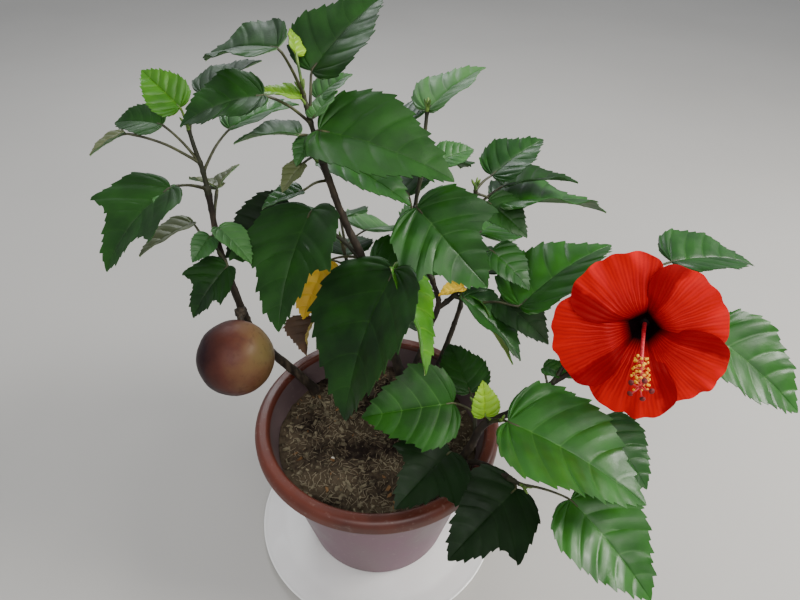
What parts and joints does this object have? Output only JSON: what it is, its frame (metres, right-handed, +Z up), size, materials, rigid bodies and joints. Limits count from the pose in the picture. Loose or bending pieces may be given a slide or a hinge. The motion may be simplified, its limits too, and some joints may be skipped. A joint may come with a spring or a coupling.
{
  "type": "potted hibiscus shrub",
  "caption": "Potted hibiscus shrub with bare stems, toothed leaves, an open bloom and a round fruit, in a plastic pot with soil on a round white saucer.",
  "frame": {"origin": "centre of the saucer's flat underside, on the floor the plant stands on", "axes": "+Z up, +X to the right of the picture, +Y away from the camera"},
  "size_m": [0.5065, 0.3482, 0.4896],
  "materials": {
    "bark": "dull, purplish brown",
    "foliage": "glossy leaf green",
    "petals": "satin red",
    "fruit": "dull brown",
    "pot": "satin brown",
    "soil": "dull",
    "saucer": "glossy white glaze"
  },
  "bodies": {
    "root": {"saucer": "saucer", "pot": "pot", "soil": "soil", "main_stem": "bark", "left_stem": "bark", "left_bough": "bark", "middle_bough": "bark", "rear_right_bough": "bark", "right_bough": "bark", "front_bough": "bark", "rear_bough": "bark", "rear_side_bough": "bark", "left_crown": "foliage", "left_side": "foliage", "top_crown": "foliage", "top_side": "foliage", "left_middle": "foliage", "front_middle": "foliage", "middle_crown": "foliage", "rear_right_crown": "foliage", "right_middle": "foliage", "right_low": "foliage", "right_front": "foliage", "right_side": "foliage", "bloom_leaves": "foliage", "front_low": "foliage", "front_crown": "foliage", "rear_crown": "foliage", "rear_low": "foliage", "rear_side_crown": "foliage", "bloom": "petals", "fruit": "fruit"}
  },
  "joints": []
}
